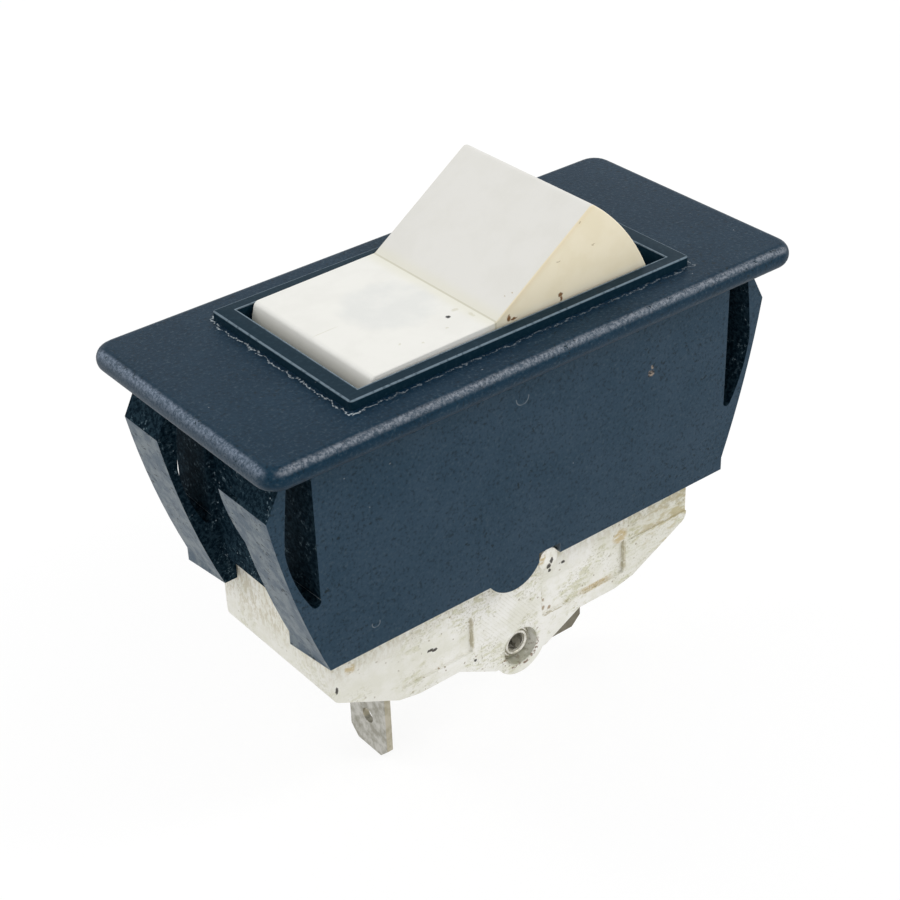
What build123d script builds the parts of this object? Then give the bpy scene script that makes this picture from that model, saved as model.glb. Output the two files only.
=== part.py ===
from build123d import *
import math
import os

# Thermal circuit breaker: rocker switch with bimetal trip in a snap-in panel frame.
# Millimetres. Origin at the middle of the panel cut-out, on the underside of the
# flange. X runs along the long side, Y across, Z out of the panel.

# ---- window and rocker: everything along X and Y starts here ----
window_length = 36.8
window_width = 19.0
tilt = 17.75
face_angle = 16.85
pivot_drop = 4.0
valley_height = 8.3
rocker_side_gap = 0.3
rocker_end_gap = 0.75
end_arc_radius = 22.0
end_arc_z = -0.62
skirt_edge_z = 0.3
rocker_wall = 1.6
rocker_side_wall = 1.3
rocker_tip_radius = 0.6
hub_radius = 3.0
web_thickness = 3.0
nose_x = 4.2
nose_z = -1.8
nose_radius = 1.2
rocker_pin_radius = 1.25

# ---- running clearances ----
pin_clearance = 0.05
guide_clearance = 0.1
touch_gap = 0.1

# ---- surround (window frame of the rocker) ----
skirt_end_wall = 1.6
skirt_side_wall = 0.8
rim_end_width = 1.8
rim_side_width = 1.35
rim_height = 0.95
rim_corner_radius = 0.35
rim_chamfer = 0.12
hook_length = 0.8
hook_root = 0.5
hook_edge = 0.4
hook_height = 1.6
hook_width = 6.0
hook_drop = 8.2

# ---- panel frame: flange and collar ----
flange_thickness = 2.4
flange_edge_radius = 1.15
flange_corner_radius = 1.4
flange_end_overlap = 2.6
flange_side_overlap = 3.0
window_clearance = 0.1
collar_play = 0.13
collar_wall = 1.2
collar_depth = 23.15
end_wall_thickness = 1.2
end_wall_depth = 19.8
cutout_play = 0.12
seat_relief = 0.3

# ---- snap wings at the four corners of the collar, X values from the slot ----
slot_wall = 1.9
wing_width = 5.68
wing_tip_gap = 0.5
wing_tip = 2.75
catch_reach = 4.85
catch_drop = 4.45
ramp_foot = -0.45
ramp_bulge = 0.5
foot_reach = 0.13
foot_height = 1.75
cutout_grip = 0.85
slot_depth = 15.45
slot_top_width = 2.3
slot_belly = 3.27
slot_belly_drop = 8.3
slot_low_width = 0.9
slot_bow_high = 0.1
slot_bow_low = 0.4
slot_end_radius = 0.35
slot_draft = 0.35
horn_reach = 1.75
horn_root = 1.1
horn_drop = 9.8
horn_thickness = 0.45

# ---- lower edge of the collar: tongue and notch ----
tongue_x = -2.8
tongue_width = 6.1
tongue_drop = 1.7
notch_x = 1.7
notch_width = 2.7
notch_height = 1.15

# ---- ribs inside the collar that locate the breaker body ----
rib_x = 14.0
rib_width = 1.2
rib_margin = 1.0

# ---- housing (two half shells, parted on the middle plane) ----
body_side_gap = 1.38
body_wall = 1.55
tower_gap = 0.2
tower_thickness = 3.0
body_end_depth = 29.6
body_belly = 4.4
body_slope_run = 7.7
body_slope_step = 0.5
body_slope_ease = 2.5
body_corner_radius = 1.2
boss_drop = 0.85
boss_radius = 3.35
boss_heel = 1.6
boss_web = 8.0
deck_gap = 0.95
deck_wall = 1.5
deck_lip_height = 2.5
floor_wall = 1.8
end_wall_extra = 0.15
cavity_side_step = 0.4
cavity_slope_step = 1.0
lug_radius = 1.2
lug_drop = 0.25
blade_slip = 0.03
pin_boss_radius = 2.0
boss_root = 0.3
pin_seat = 0.7
shell_skin = 0.4

# ---- shallow panels, round mark and set-back on the broad faces of the body ----
panel_recess = 0.35
line_panel_x = (-15.1, -6.2)
line_panel_z = (-32.4, -28.0)
load_panel_x = (2.9, 14.2)
load_panel_z = (-32.5, -28.2)
mark_x = 13.6
mark_depth = 27.3
mark_radius = 1.1
setback = 0.18
setback_x = 14.6
setback_z = (-28.7, -13.0)

# ---- rivets ----
rivet_radius = 1.5
rivet_bore = 1.0
rivet_head_radius = 1.95
rivet_head = 0.4
rivet_head_chamfer = 0.24
counterbore_radius = 2.15
counterbore_depth = 1.25
upper_rivet_inset = 4.2
upper_rivet_rise = 5.4
upper_rivet_radius = 1.25
upper_head_radius = 2.2
upper_head = 0.7
upper_boss = 2.4

# ---- terminals (quick-connect blades), heights above the cavity floor ----
tab_width = 6.3
tab_thickness = 0.8
tab_chamfer = 1.2
tab_hole_radius = 0.85
tab_hole_rise = 4.2
line_inset = 10.32
line_tip_depth = 46.8
load_inset = 10.35
load_tip_depth = 45.2
leg_rise = 4.1
leg_end_x = -3.2
leg_bend_radius = 0.72
leg_rib_start = 2.9
leg_rib_margin = 0.8
shoulder = 1.1
shoulder_height = 1.6
foot_rise = 3.2
foot_gusset = 1.0
foot_front = -6.2
fixing_y = -3.7
fixing_offset = 2.2
bimetal_rivet_radius = 0.9
bimetal_rivet_head_radius = 1.6
bimetal_rivet_head = 0.5
screw_radius = 1.0
screw_neck = 0.8
screw_head_radius = 1.7
screw_head = 1.0
screw_slot = 0.6
screw_slot_depth = 0.5

# ---- contacts and contact arm ----
arm_end_gap = 0.8
arm_thickness = 1.0
arm_drop = 0.1
arm_front = -0.9
arm_back = 4.5
arm_end_x = -8.3
arm_corner_radius = 1.2
arm_hub_radius = 2.1
arm_pin_radius = 1.0
contact_x = -6.0
contact_y = 1.1
contact_swing_offset = 0.5
contact_edge_drop = 0.2
moving_contact_radius = 1.9
moving_contact_height = 1.0
moving_contact_chamfer = (0.35, 0.7)
fixed_contact_radius = 2.0
fixed_contact_height = 0.9
fixed_contact_chamfer = 0.25

# ---- push rod ----
rod_x = 4.3
rod_width = 3.6
rod_front = -5.0
rod_back = 2.6
rod_foot_radius = 1.0
rod_foot_taper = 0.9
nose_front_gap = 0.6
nose_back_gap = 0.4
neck_x = 4.6
neck_drop = 1.7
neck_height = 1.4
cam_x = 2.0
cam_slope = 0.74
cam_foot = 0.5

# ---- trip lever ----
trip_pivot_x = 0.1
trip_pivot_rise = 7.5
lever_nose_drop = 2.14
lever_nose_radius = 0.6
lever_beak = 2.5
lever_beak_root = 2.2
lever_width = 1.6
lever_front = -5.4
lever_back = -1.4
lever_hub_radius = 1.9
lever_foot_x = 3.4
lever_foot_gap = 0.7
lever_foot_tip = 0.9
lever_foot_root = 1.1
trip_pin_radius = 0.9
trip_pin_flange = 0.6
trip_pin_head = 0.3

# ---- bimetal ----
bimetal_thickness = 0.8
bimetal_front = -6.2
bimetal_back = -1.2
bimetal_free_x = 1.2
bimetal_corner = 0.8

# ---- springs, braid, barrier ----
kick_spring_x = 0.9
kick_spring_y = 2.3
kick_spring_radius = 1.7
kick_spring_wire = 0.25
kick_spring_turns = 3
spring_seat_rise = 3.7
spring_seat_wall = 1.2
spring_seat_margin = 0.25
leaf_x = -4.5
leaf_block = 2.2
leaf_root = 3.0
leaf_drop = 7.0
leaf_bow = 0.3
leaf_thickness = 0.3
braid_width = 1.8
braid_thickness = 0.7
braid_bend_radius = 1.1
braid_low_end = (6.0, -2.6)
braid_high_end = (10.5, 0.6)
braid_low_rise = 3.0
braid_high_rise = 3.9
barrier_x = -2.3
barrier_thickness = 0.6
barrier_height = 6.4

# ---- values worked out from the sizes above: across and along ----
skirt_length = window_length + 2 * skirt_end_wall
skirt_width = window_width + 2 * skirt_side_wall
rim_length = window_length + 2 * rim_end_width
rim_width = window_width + 2 * rim_side_width
rocker_half = window_width / 2 - rocker_side_gap
rocker_reach = window_length / 2 - rocker_end_gap
body_length = skirt_length + 2 * (tower_gap + tower_thickness)
body_end = body_length / 2
collar_inner = skirt_width / 2 + collar_play
body_half = collar_inner - body_side_gap
body_slope_x = body_end - body_slope_run
cavity_half = body_half - body_wall
cavity_end = body_end - body_wall - end_wall_extra
cavity_slope_x = body_slope_x - cavity_slope_step
upper_rivet_x = body_end - upper_rivet_inset
collar_half = collar_inner + collar_wall
collar_end_inner = body_end + tower_gap
slot_x = collar_end_inner + slot_wall
wing_tip_x = slot_x + wing_tip
catch_x = slot_x + catch_reach
cutout_length = 2 * (wing_tip_x + cutout_grip)
cutout_width = 2 * (collar_half + cutout_play)
flange_length = cutout_length + 2 * flange_end_overlap
flange_width = cutout_width + 2 * flange_side_overlap
line_x = -body_end + line_inset
load_x = body_end - load_inset
arm_pivot_x = cavity_end - arm_hub_radius - arm_end_gap
rivet_x = load_x + fixing_offset
screw_x = load_x - fixing_offset

# ---- values worked out from the sizes above: heights ----
sin_tilt = math.sin(math.radians(tilt))
cos_tilt = math.cos(math.radians(tilt))
rod_stroke = 2 * nose_x * sin_tilt
deck_depth = pivot_drop + rocker_reach * sin_tilt - skirt_edge_z * cos_tilt + deck_gap
collar_top = seat_relief + 0.2
body_flat_depth = body_end_depth + body_belly
body_slope_depth = body_flat_depth - body_slope_step
boss_depth = body_flat_depth + boss_drop
cavity_side_depth = body_end_depth - cavity_side_step
cavity_floor_depth = body_flat_depth - floor_wall
leg_depth = cavity_floor_depth - leg_rise
foot_depth = cavity_floor_depth - foot_rise
seat_depth = cavity_floor_depth - spring_seat_rise
barrier_top_depth = cavity_floor_depth - barrier_height
contact_travel = rod_stroke * (arm_pivot_x - contact_x) / (arm_pivot_x - rod_x)
contact_gap = contact_travel + contact_edge_drop + touch_gap
arm_stack = arm_drop + arm_thickness + moving_contact_height
arm_pivot_depth = leg_depth - fixed_contact_height - contact_gap - arm_stack
arm_top = -arm_pivot_depth - arm_drop
upper_rivet_depth = arm_pivot_depth - upper_rivet_rise
rod_top = (-pivot_drop + nose_x * sin_tilt + nose_z * cos_tilt
           - nose_radius - 1.5 * touch_gap)
neck_top_depth = deck_depth + deck_wall + neck_drop
neck_low_depth = neck_top_depth + neck_height
cam_rise = (neck_x - cam_x) / cam_slope
trip_pivot_depth = cavity_floor_depth - trip_pivot_rise
lever_nose_depth = neck_low_depth + lever_nose_drop
lever_nose_x = (neck_x - cam_slope * lever_nose_drop
                - (lever_nose_radius + touch_gap) * math.hypot(1, cam_slope))
lever_foot_depth = foot_depth - bimetal_thickness - lever_foot_gap
stem_x = lever_nose_x - lever_beak


def prism(face, y_low, y_high):
    """Solid with the given outline in the XZ plane, from y_low to y_high."""
    return extrude(Plane.XZ.offset(-y_high) * face, amount=y_high - y_low)


def block(x_low, x_high, y_low, y_high, z_low, z_high):
    """Box given by its faces."""
    size = (x_high - x_low, y_high - y_low, z_high - z_low)
    middle = ((x_high + x_low) / 2, (y_high + y_low) / 2, (z_high + z_low) / 2)
    return Pos(*middle) * Box(*size)


def rod_along_y(x, z, radius, y_low, y_high):
    """Round bar across the body."""
    return Pos(x, (y_low + y_high) / 2, z) * Rot(90, 0, 0) * Cylinder(radius, y_high - y_low)


def rod_along_z(x, y, radius, z_low, z_high):
    """Upright round bar."""
    return Pos(x, y, (z_low + z_high) / 2) * Cylinder(radius, z_high - z_low)


def outline(*points):
    """Closed face through the points, straight between them."""
    return make_face(Polyline(*points, close=True))


# ---------------------------------------------------------------- panel frame
def bowed(start, end, bow):
    """Point beside the middle of a line, for an arc that bows by the given amount."""
    along = (end[0] - start[0], end[1] - start[1])
    length = math.hypot(*along)
    return ((start[0] + end[0]) / 2 - bow * along[1] / length,
            (start[1] + end[1]) / 2 + bow * along[0] / length)


def wing_outline():
    """Side view of one snap wing: catch head, bowed ramp down to the foot."""
    catch = (catch_x, -catch_drop)
    foot = (slot_x + ramp_foot, -collar_depth)
    return make_face(
        Line((collar_end_inner, collar_top), (wing_tip_x - 1, collar_top))
        + Line((wing_tip_x - 1, collar_top), (wing_tip_x, -wing_tip_gap))
        + Line((wing_tip_x, -wing_tip_gap), catch)
        + ThreePointArc(catch, bowed(catch, foot, ramp_bulge), foot)
        + Line(foot, (collar_end_inner, -collar_depth))
        + Line((collar_end_inner, -collar_depth), (collar_end_inner, collar_top)))


def slot_outline(inset):
    """Slot that frees the wing from the collar: straight inside, bellied outside."""
    left = slot_x + inset
    top = (slot_x + slot_top_width - inset, 0)
    belly = (slot_x + slot_belly - inset, -slot_belly_drop)
    low = (slot_x + slot_low_width, -slot_depth + slot_end_radius / 2)
    end = (left, -slot_depth + 2 * slot_end_radius)
    return make_face(
        Polyline(end, (left, 1), (top[0], 1), top)
        + ThreePointArc(top, bowed(top, belly, slot_bow_high), belly)
        + ThreePointArc(belly, bowed(belly, low, slot_bow_low), low)
        + ThreePointArc(low, (slot_x + slot_end_radius + inset / 2, -slot_depth), end))


def wing_slot():
    """The slot through one wing, with draft: narrower on the inner side."""
    outer = Plane.XZ.offset(-collar_half) * slot_outline(0)
    inner = Plane.XZ.offset(-collar_half + wing_width) * slot_outline(slot_draft / 2)
    return loft([outer, inner], ruled=True)


def horn_zone():
    """Where the skin of the ramp runs on inward beside the catch, as a thin horn."""
    inner = collar_half - wing_width
    tip = (inner - horn_reach, -catch_drop)
    low = (inner, -horn_drop)
    side = make_face(
        Polyline(low, (inner + horn_root, -horn_drop), (inner + horn_root, -catch_drop), tip)
        + ThreePointArc(tip, bowed(tip, low, -0.6), low))
    return extrude(Plane.YZ * side, amount=catch_x + 1)


def snap_wing(horned):
    """Wing at the +X, +Y corner."""
    inner = collar_half - wing_width
    wing = prism(wing_outline(), inner, collar_half) - wing_slot()
    wing -= block(slot_x, catch_x + 1, 0, collar_half, -wing_tip_gap, 1)
    if horned:
        behind = Pos(-horn_thickness, 0) * wing_outline()
        skin = prism(wing_outline() - behind, 0, collar_half)
        wing -= block(slot_x, catch_x + 1, 0, inner + horn_root, -horn_drop, 1)
        wing += horn_zone() & skin
    return wing


def foot_wedge(y_low, y_high):
    """Foot of a wing: stands proud of the ramp on one side and runs out on the other."""
    plan = make_face(Polyline((collar_end_inner, y_low), (slot_x + foot_reach, y_low),
                              (slot_x + ramp_foot, y_high), (collar_end_inner, y_high), close=True))
    return extrude(Pos(0, 0, -collar_depth) * plan, amount=foot_height)


def flange():
    """Flange plate with full round edge."""
    plate = Pos(0, 0, flange_thickness / 2) * Box(flange_length, flange_width, flange_thickness)
    plate = fillet(plate.edges().filter_by(Axis.Z), flange_corner_radius)
    rims = plate.edges().group_by(Axis.Z)[0] + plate.edges().group_by(Axis.Z)[-1]
    plate = fillet(rims, flange_edge_radius)
    # relief inside the panel cut-out, so that the flange bears on the panel all round it
    return plate - block(-cutout_length / 2, cutout_length / 2, -cutout_width / 2, cutout_width / 2,
                         -1, seat_relief)


def tongue_outline():
    """Half-round tongue below the edge of the collar wall."""
    half = tongue_width / 2
    return make_face(
        ThreePointArc((tongue_x - half, -collar_depth), (tongue_x, -collar_depth - tongue_drop),
                      (tongue_x + half, -collar_depth))
        + Line((tongue_x + half, -collar_depth), (tongue_x + half, -collar_depth + 1))
        + Line((tongue_x + half, -collar_depth + 1), (tongue_x - half, -collar_depth + 1))
        + Line((tongue_x - half, -collar_depth + 1), (tongue_x - half, -collar_depth)))


def frame_end():
    """Wings, feet and end wall at the +X end; the other end is the same, turned round."""
    inner = collar_half - wing_width
    end = snap_wing(True) + mirror(snap_wing(False), about=Plane.XZ)
    end += foot_wedge(inner, collar_half) + foot_wedge(-collar_half, -inner)
    return end + block(collar_end_inner, collar_end_inner + end_wall_thickness,
                       -inner, inner, -end_wall_depth, collar_top)


def make_bezel_frame():
    frame = flange()
    for side in (-1, 1):
        wall = prism(outline((-collar_end_inner, collar_top), (collar_end_inner, collar_top),
                             (collar_end_inner, -collar_depth), (-collar_end_inner, -collar_depth)),
                     collar_inner, collar_half)
        wall += prism(tongue_outline(), collar_inner, collar_half)
        notch = block(notch_x - notch_width / 2, notch_x + notch_width / 2,
                      collar_inner - 1, collar_half + 1,
                      -collar_depth - 1, -collar_depth + notch_height)
        wall -= notch
        frame += wall if side > 0 else mirror(wall, about=Plane.XZ)
    end = frame_end()
    frame += end + Rot(0, 0, 180) * end
    for x in (-rib_x, rib_x):
        rib = block(x - rib_width / 2, x + rib_width / 2, body_half + pin_clearance,
                    collar_inner + boss_root, -collar_depth + rib_margin,
                    -deck_depth - deck_lip_height - rib_margin)
        frame += rib + mirror(rib, about=Plane.XZ)
    window = block(-skirt_length / 2 - window_clearance, skirt_length / 2 + window_clearance,
                   -skirt_width / 2 - window_clearance, skirt_width / 2 + window_clearance,
                   -1, flange_thickness + 1)
    return frame - window


# ------------------------------------------------------------------- surround
def make_rocker_surround():
    """Rim on the flange, skirt down to the deck of the housing, hooks at the ends."""
    rim = Pos(0, 0, flange_thickness + rim_height / 2) * Box(rim_length, rim_width, rim_height)
    rim = fillet(rim.edges().filter_by(Axis.Z), rim_corner_radius)
    rim = chamfer(rim.edges().group_by(Axis.Z)[-1], rim_chamfer)
    skirt_height = flange_thickness + deck_depth
    skirt = Pos(0, 0, flange_thickness - skirt_height / 2) * Box(skirt_length, skirt_width, skirt_height)
    top = flange_thickness + rim_height
    opening = block(-window_length / 2, window_length / 2, -window_width / 2, window_width / 2,
                    -deck_depth - 1, top + 1)
    surround = rim + skirt - opening
    end = skirt_length / 2
    hook = outline((end - hook_root, -hook_drop + hook_height),
                   (end + hook_length, -hook_drop + hook_height),
                   (end + hook_length, -hook_drop + hook_height - hook_edge),
                   (end, -hook_drop), (end - hook_root, -hook_drop))
    hook_solid = prism(hook, -hook_width / 2, hook_width / 2)
    surround += hook_solid + mirror(hook_solid, about=Plane.YZ)
    pin_hole = rod_along_y(0, -pivot_drop, rocker_pin_radius, -skirt_width, skirt_width)
    return surround - pin_hole


# --------------------------------------------------------------------- rocker
def rocker_outline(inset):
    """Profile about the pivot: V-shaped top, round ends, flat lower edge."""
    rise = math.tan(math.radians(face_angle))
    radius = end_arc_radius - inset
    low = valley_height - inset / math.cos(math.radians(face_angle))
    # middle of the end arc, from the reach of the rocker at its lower edge
    drop = skirt_edge_z - end_arc_z
    arc_x = rocker_reach - math.sqrt(end_arc_radius ** 2 - drop ** 2)
    # crossing of the sloping face with the round end
    a = 1 + rise * rise
    b = rise * (low - end_arc_z) - arc_x
    c = arc_x ** 2 + (low - end_arc_z) ** 2 - radius ** 2
    tip_x = (-b + math.sqrt(b * b - a * c)) / a
    tip_z = low + rise * tip_x
    edge_x = arc_x + math.sqrt(radius ** 2 - drop ** 2)
    middle = (math.asin(drop / radius) + math.atan2(tip_z - end_arc_z, tip_x - arc_x)) / 2
    mid_x = arc_x + radius * math.cos(middle)
    mid_z = end_arc_z + radius * math.sin(middle)
    return make_face(
        Polyline((-tip_x, tip_z), (0, low), (tip_x, tip_z))
        + ThreePointArc((tip_x, tip_z), (mid_x, mid_z), (edge_x, skirt_edge_z))
        + Line((edge_x, skirt_edge_z), (-edge_x, skirt_edge_z))
        + ThreePointArc((-edge_x, skirt_edge_z), (-mid_x, mid_z), (-tip_x, tip_z)))


def at_pivot(solid):
    """Turn a solid drawn about the pivot to the rest position, -X side pressed."""
    return Pos(0, 0, -pivot_drop) * Rot(0, -tilt, 0) * solid


def make_rocker():
    shell = prism(rocker_outline(0), -rocker_half, rocker_half)
    tips = shell.edges().filter_by(Axis.Y).group_by(Axis.Z)[-1]
    shell = fillet(tips, rocker_tip_radius)
    inner = rocker_half - rocker_side_wall
    hollow = rocker_outline(rocker_wall)
    shell -= prism(hollow + Pos(0, -1) * hollow, -inner, inner)
    cheek = rod_along_y(0, 0, hub_radius, -rocker_half, rocker_half)
    web = block(-web_thickness / 2, web_thickness / 2, -inner - 0.1, inner + 0.1,
                0, valley_height - rocker_wall)
    nose_arm = outline((0, hub_radius - 0.3), (nose_x, nose_z + nose_radius), (nose_x, nose_z),
                       (nose_x - 0.5 * nose_radius, nose_z - 0.86 * nose_radius), (0, -0.4 * hub_radius))
    nose_front = rod_front + nose_front_gap
    nose_back = rod_back - nose_back_gap
    nose = prism(nose_arm, nose_front, nose_back)
    nose += rod_along_y(nose_x, nose_z, nose_radius, nose_front, nose_back)
    bore = rod_along_y(0, 0, rocker_pin_radius + pin_clearance, -rocker_half - 1, rocker_half + 1)
    return at_pivot(shell + cheek + web + nose - bore)


def make_rocker_pin():
    return rod_along_y(0, -pivot_drop, rocker_pin_radius, -skirt_width / 2, skirt_width / 2)


# -------------------------------------------------------------------- housing
def body_outline():
    """Side view of the breaker body: towers, deck step, sloped ends, rivet boss."""
    tower_in = skirt_length / 2 + tower_gap
    right = [(0, -deck_depth), (tower_in, -deck_depth), (tower_in, seat_relief), (body_end, seat_relief),
             (body_end, -body_end_depth), (body_slope_x, -body_slope_depth),
             (body_slope_x - body_slope_ease, -body_flat_depth), (boss_web, -body_flat_depth),
             (boss_radius, -boss_depth - boss_heel), (0, -boss_depth - boss_heel)]
    face = outline(*right, *[(-x, z) for x, z in right[-2:0:-1]])
    ends = [v for v in face.vertices()
            if abs(abs(v.X) - body_end) < 0.01 and v.Y < -body_end_depth + 0.01]
    face = fillet(ends, body_corner_radius)
    return face + Pos(0, -boss_depth) * Circle(boss_radius)


def cavity_outline():
    """Inside of the body below the deck."""
    return outline((-cavity_end, -deck_depth - deck_wall), (cavity_end, -deck_depth - deck_wall),
                   (cavity_end, -cavity_side_depth), (cavity_slope_x, -cavity_floor_depth),
                   (-cavity_slope_x, -cavity_floor_depth), (-cavity_end, -cavity_side_depth))


def rear_shell():
    """Half of the body on the +Y side, with the features that both halves share."""
    shell = prism(body_outline(), 0, body_half)
    shell += block(-body_end, body_end, 0, skirt_width / 2,
                   -deck_depth - deck_lip_height, -deck_depth)
    shell -= prism(cavity_outline(), -1, cavity_half)
    for side in (-1, 1):
        low, high = sorted((side * (upper_rivet_x - upper_boss), side * (cavity_end + boss_root)))
        shell += block(low, high, 0, cavity_half + boss_root,
                       -upper_rivet_depth - upper_boss, -deck_depth - deck_wall / 2)
    # counterbored hole for the tubular rivet in the lower boss
    shell -= rod_along_y(0, -boss_depth, rivet_radius, -1, body_half + 1)
    shell -= rod_along_y(0, -boss_depth, counterbore_radius, body_half - counterbore_depth, body_half + 1)
    for x in (-upper_rivet_x, upper_rivet_x):
        shell -= rod_along_y(x, -upper_rivet_depth, upper_rivet_radius, -1, body_half + 1)
        shell -= rod_along_y(x, -upper_rivet_depth, upper_head_radius + guide_clearance,
                             body_half, collar_half)
    # windows for the hooks of the surround
    hook_reach = skirt_length / 2 + hook_length + 3 * guide_clearance
    for low, high in ((-hook_reach, 0), (0, hook_reach)):
        shell -= block(low, high, -1, hook_width / 2 + 2 * guide_clearance,
                       -hook_drop - 2 * guide_clearance, -hook_drop + hook_height + guide_clearance)
    # shallow panels on the broad face
    face_y = body_half - panel_recess
    shell -= block(*line_panel_x, face_y, body_half + 1, *line_panel_z)
    shell -= block(*load_panel_x, face_y, body_half + 1, *load_panel_z)
    shell -= block(setback_x, body_end + 1, body_half - setback, body_half + 1, *setback_z)
    # lug that sits in the notch of the collar wall
    shell += rod_along_y(notch_x, -collar_depth - lug_drop, lug_radius,
                         body_half - boss_root, collar_half - lug_drop)
    # blade slots through the floor
    wide = tab_width / 2 + blade_slip
    thin = tab_thickness / 2 + blade_slip
    shell -= block(line_x - thin, line_x + thin, -1, wide, -body_flat_depth - 2, -cavity_floor_depth + 1)
    shell -= block(load_x - wide, load_x + wide, -1, thin, -body_flat_depth - 2, -cavity_floor_depth + 1)
    # guide hole of the push rod through the deck
    hole_half = rod_width / 2 + guide_clearance
    shell -= block(rod_x - hole_half, rod_x + hole_half, -1, rod_back + guide_clearance,
                   -deck_depth - deck_wall - 1, -deck_depth + 1)
    return shell


def pin_pad(y_low, y_high):
    """Square pad round the end of the arm pin."""
    return block(arm_pivot_x - pin_boss_radius, arm_pivot_x + pin_boss_radius, y_low, y_high,
                 -arm_pivot_depth - pin_boss_radius, -arm_pivot_depth + pin_boss_radius)


def make_housing_rear():
    shell = rear_shell()
    # arm pin boss, rib under the contact leg, seat of the spring
    shell += pin_pad(arm_back + touch_gap, cavity_half + boss_root)
    shell -= rod_along_y(arm_pivot_x, -arm_pivot_depth, arm_pin_radius, 0, cavity_half + pin_seat)
    shell += block(line_x + leg_rib_start, leg_end_x - leg_rib_margin, touch_gap, cavity_half + boss_root,
                   -cavity_floor_depth - boss_root, -leg_depth - tab_thickness)
    seat_reach = kick_spring_radius + kick_spring_wire + spring_seat_margin
    shell += block(kick_spring_x - seat_reach, kick_spring_x + seat_reach, touch_gap,
                   cavity_half + boss_root, -seat_depth - spring_seat_wall, -seat_depth)
    return shell


def make_housing_front():
    shell = mirror(rear_shell(), about=Plane.XZ)
    # the guide hole of the push rod reaches further to the front
    hole_half = rod_width / 2 + guide_clearance
    shell -= block(rod_x - hole_half, rod_x + hole_half, rod_front - guide_clearance, 1,
                   -deck_depth - deck_wall - 1, -deck_depth + 1)
    # round mark on the set-back panel
    shell += rod_along_y(mark_x, -mark_depth, mark_radius, -body_half, -body_half + 2 * panel_recess)
    # arm pin boss and trip pin boss
    shell += pin_pad(-cavity_half - boss_root, arm_front - touch_gap)
    shell -= rod_along_y(arm_pivot_x, -arm_pivot_depth, arm_pin_radius, -cavity_half - pin_seat, 0)
    shell += rod_along_y(trip_pivot_x, -trip_pivot_depth, pin_boss_radius,
                         -cavity_half - boss_root, lever_front - touch_gap)
    shell -= rod_along_y(trip_pivot_x, -trip_pivot_depth, trip_pin_radius, -body_half + shell_skin, 0)
    # block that holds the leaf spring under the deck
    shell += block(leaf_x - leaf_block, leaf_x - leaf_thickness / 2, -cavity_half - boss_root, lever_back,
                   -deck_depth - deck_wall - leaf_root, -deck_depth - deck_wall + boss_root)
    return shell


def make_centre_rivet():
    """Tubular rivet: hollow shank, rolled heads in the counterbores."""
    seat = body_half - counterbore_depth
    rivet = rod_along_y(0, -boss_depth, rivet_radius, -seat, seat)
    for side in (-1, 1):
        low, high = sorted((side * seat, side * (seat + rivet_head)))
        head = rod_along_y(0, -boss_depth, rivet_head_radius, low, high)
        outer = head.faces().sort_by(Axis.Y)[-1 if side > 0 else 0].edges()
        rivet += chamfer(outer, rivet_head_chamfer)
    return rivet - rod_along_y(0, -boss_depth, rivet_bore, -body_half, body_half)


def make_upper_rivet(x):
    """Solid rivet through the two shells, its heads in the gap beside the collar walls."""
    top = body_half + upper_head
    rivet = rod_along_y(x, -upper_rivet_depth, upper_rivet_radius, -body_half, body_half)
    for low, high in ((-top, -body_half), (body_half, top)):
        rivet += rod_along_y(x, -upper_rivet_depth, upper_head_radius, low, high)
    return rivet


# ------------------------------------------------------------------ terminals
def blade_tip(face):
    """Chamfer the two lowest corners of a blade outline."""
    return chamfer(face.vertices().group_by(Axis.Y)[0], tab_chamfer)


def make_line_terminal():
    """Blade across the body, bent over inside to carry the fixed contact."""
    half = tab_width / 2
    top = -leg_depth
    blade = outline((-half, -line_tip_depth), (half, -line_tip_depth), (half, top), (-half, top))
    blade = blade_tip(blade)
    low = line_x - tab_thickness / 2
    solid = extrude(Plane.YZ.offset(low) * blade, amount=tab_thickness)
    wide = half + shoulder
    solid += block(low, low + tab_thickness, -wide, wide,
                   -cavity_floor_depth, -cavity_floor_depth + shoulder_height)
    solid += block(low, leg_end_x, -half, half, top - tab_thickness, top)
    bend = [e for e in solid.edges().filter_by(Axis.Y)
            if abs(e.center().X - low) < 0.01 and abs(e.center().Z - top) < 0.01]
    solid = fillet(bend, leg_bend_radius)
    hole = Rot(0, 90, 0) * Cylinder(tab_hole_radius, 4 * tab_thickness)
    return solid - Pos(line_x, 0, -line_tip_depth + tab_hole_rise) * hole


def make_load_terminal():
    """Blade along the body with a foot bent to the front for the bimetal."""
    left = load_x - tab_width / 2
    right = load_x + tab_width / 2
    blade = outline((left, -load_tip_depth), (right, -load_tip_depth),
                    (right, -foot_depth), (left, -foot_depth))
    blade = blade_tip(blade)
    half = tab_thickness / 2
    solid = prism(blade, -half, half)
    solid += block(left - shoulder, right, -half, half, -cavity_floor_depth, -foot_depth)
    solid += block(left, right + shoulder, -half, half,
                   -foot_depth - tab_thickness - foot_gusset, -foot_depth)
    solid += block(left - shoulder, right + shoulder, foot_front, half,
                   -foot_depth - tab_thickness, -foot_depth)
    hole = rod_along_y(load_x, -load_tip_depth + tab_hole_rise, tab_hole_radius,
                       -tab_thickness, tab_thickness)
    low = -foot_depth - tab_thickness - 1
    rivet_hole = rod_along_z(rivet_x, fixing_y, bimetal_rivet_radius, low, -foot_depth + 1)
    screw_hole = rod_along_z(screw_x, fixing_y, screw_radius, low, -foot_depth + 1)
    return solid - hole - rivet_hole - screw_hole


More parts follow.
